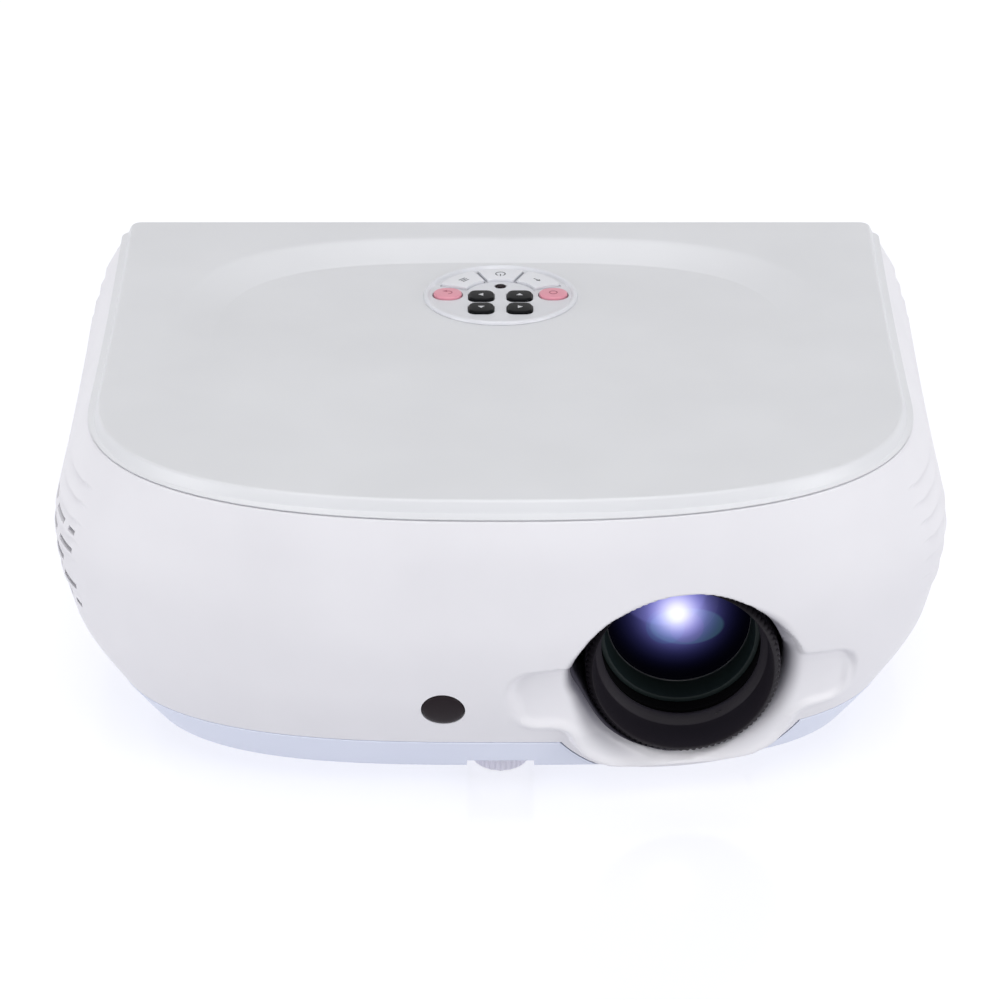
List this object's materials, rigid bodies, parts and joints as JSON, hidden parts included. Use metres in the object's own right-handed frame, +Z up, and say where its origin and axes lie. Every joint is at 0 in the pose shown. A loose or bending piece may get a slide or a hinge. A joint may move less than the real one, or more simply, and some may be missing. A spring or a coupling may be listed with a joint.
{
  "type": "projector",
  "caption": "Compact LED home projector with a rounded white case, an off-centre focusing lens, a round top keypad, louvred sides and a screw foot.",
  "frame": {"origin": "middle of the case's footprint, on the surface that the feet stand on", "axes": "+X across the case, to the right of someone who faces the lens; +Y from the lens to the rear sockets; +Z up. The lens looks along -Y."},
  "size_m": [0.226, 0.168, 0.085],
  "materials": {
    "top_plastic": "satin",
    "white_plastic": "satin",
    "cool_white_plastic": "satin",
    "knob_plastic": "satin",
    "key_white": "semi-gloss",
    "key_pink": "semi-gloss",
    "key_black": "semi-gloss",
    "dark_lens": "gloss",
    "ring_plastic": "satin",
    "black_plastic": "fine grain",
    "rubber": "matt",
    "lens_glass": "coated",
    "clear_plate": "fine rings",
    "panel_glass": "polished",
    "mirror": "polished",
    "aluminium": "extruded",
    "steel": "plated",
    "brass": "machined",
    "circuit_board": "solder mask"
  },
  "bodies": {
    "case": {"top_cover": "top_plastic", "main_housing": "white_plastic", "bottom_cover": "cool_white_plastic", "rear_panel": "black_plastic", "keypad_plate": "white_plastic", "status_lamp": "dark_lens", "keypad_board": "circuit_board", "ir_window": "dark_lens", "ir_board": "circuit_board", "lens_mount": "black_plastic", "optical_box": "black_plastic", "fold_mirror": "mirror", "collimator_fresnel": "clear_plate", "lcd_panel": "panel_glass", "field_fresnel": "clear_plate", "reflector_cone": "aluminium", "led_module": "aluminium", "heat_sink": "aluminium", "exhaust_fan_frame": "black_plastic", "intake_fan_frame": "black_plastic", "main_board": "circuit_board", "hdmi_socket": "steel", "usb_socket_1": "steel", "usb_socket_2": "steel", "av_jack": "black_plastic", "headphone_jack": "black_plastic", "power_inlet": "black_plastic", "power_board": "circuit_board", "speaker": "black_plastic", "foot_insert": "brass", "rear_foot_left": "rubber", "rear_foot_right": "rubber", "case_screw_1": "steel", "case_screw_2": "steel", "case_screw_3": "steel", "case_screw_4": "steel"},
    "lens": {"lens_barrel": "black_plastic", "front_lens": "lens_glass", "front_retainer": "black_plastic", "rear_lens": "lens_glass"},
    "ring": {"focus_ring": "ring_plastic"},
    "foot_pad": {"tilt_pad": "rubber"},
    "foot_knob": {"tilt_knob": "knob_plastic"},
    "exhaust_rotor": {"exhaust_fan_rotor": "black_plastic"},
    "intake_rotor": {"intake_fan_rotor": "black_plastic"},
    "menu": {"menu_key": "key_white"},
    "power": {"power_key": "key_white"},
    "source": {"source_key": "key_white"},
    "back": {"back_key": "key_pink"},
    "ok": {"ok_key": "key_pink"},
    "left": {"left_key": "key_black"},
    "up": {"up_key": "key_black"},
    "down": {"down_key": "key_black"},
    "right": {"right_key": "key_black"}
  },
  "joints": [
    {"name": "lens_slide", "type": "slide", "parent": "case", "child": "lens", "axis": [0, -1, 0], "range_m": [-0.003, 0.003]},
    {"name": "focus_turn", "type": "hinge", "parent": "lens", "child": "ring", "pos_m": [0.0437, -0.0705, 0.036], "axis": [0, -1, 0], "range_deg": [-90, 90]},
    {"name": "foot_slide", "type": "slide", "parent": "case", "child": "foot_pad", "axis": [0, 0, -1], "range_m": [0, 0.012]},
    {"name": "foot_turn", "type": "hinge", "parent": "foot_pad", "child": "foot_knob", "pos_m": [0, -0.054, 0], "axis": [0, 0, -1], "range_deg": [0, 1440]},
    {"name": "exhaust_spin", "type": "hinge", "parent": "case", "child": "exhaust_rotor", "pos_m": [-0.0812, 0.034, 0.04], "axis": [1, 0, 0], "continuous": true},
    {"name": "intake_spin", "type": "hinge", "parent": "case", "child": "intake_rotor", "pos_m": [0.0845, 0.034, 0.04], "axis": [1, 0, 0], "continuous": true},
    {"name": "menu_press", "type": "slide", "parent": "case", "child": "menu", "axis": [0, -0.047, -0.9989], "range_m": [0, 0.0006], "stiffness_N_per_m": 400, "springref_m": -0.001},
    {"name": "power_press", "type": "slide", "parent": "case", "child": "power", "axis": [0, -0.047, -0.9989], "range_m": [0, 0.0006], "stiffness_N_per_m": 400, "springref_m": -0.001},
    {"name": "source_press", "type": "slide", "parent": "case", "child": "source", "axis": [0, -0.047, -0.9989], "range_m": [0, 0.0006], "stiffness_N_per_m": 400, "springref_m": -0.001},
    {"name": "back_press", "type": "slide", "parent": "case", "child": "back", "axis": [0, -0.047, -0.9989], "range_m": [0, 0.0006], "stiffness_N_per_m": 400, "springref_m": -0.001},
    {"name": "ok_press", "type": "slide", "parent": "case", "child": "ok", "axis": [0, -0.047, -0.9989], "range_m": [0, 0.0006], "stiffness_N_per_m": 400, "springref_m": -0.001},
    {"name": "left_press", "type": "slide", "parent": "case", "child": "left", "axis": [0, -0.047, -0.9989], "range_m": [0, 0.0006], "stiffness_N_per_m": 400, "springref_m": -0.001},
    {"name": "up_press", "type": "slide", "parent": "case", "child": "up", "axis": [0, -0.047, -0.9989], "range_m": [0, 0.0006], "stiffness_N_per_m": 400, "springref_m": -0.001},
    {"name": "down_press", "type": "slide", "parent": "case", "child": "down", "axis": [0, -0.047, -0.9989], "range_m": [0, 0.0006], "stiffness_N_per_m": 400, "springref_m": -0.001},
    {"name": "right_press", "type": "slide", "parent": "case", "child": "right", "axis": [0, -0.047, -0.9989], "range_m": [0, 0.0006], "stiffness_N_per_m": 400, "springref_m": -0.001}
  ],
  "couplings": [
    {"joint": "focus_turn", "follows": "lens_slide", "rad_per_m": 523.5},
    {"joint": "foot_turn", "follows": "foot_slide", "rad_per_m": 2094.3}
  ]
}
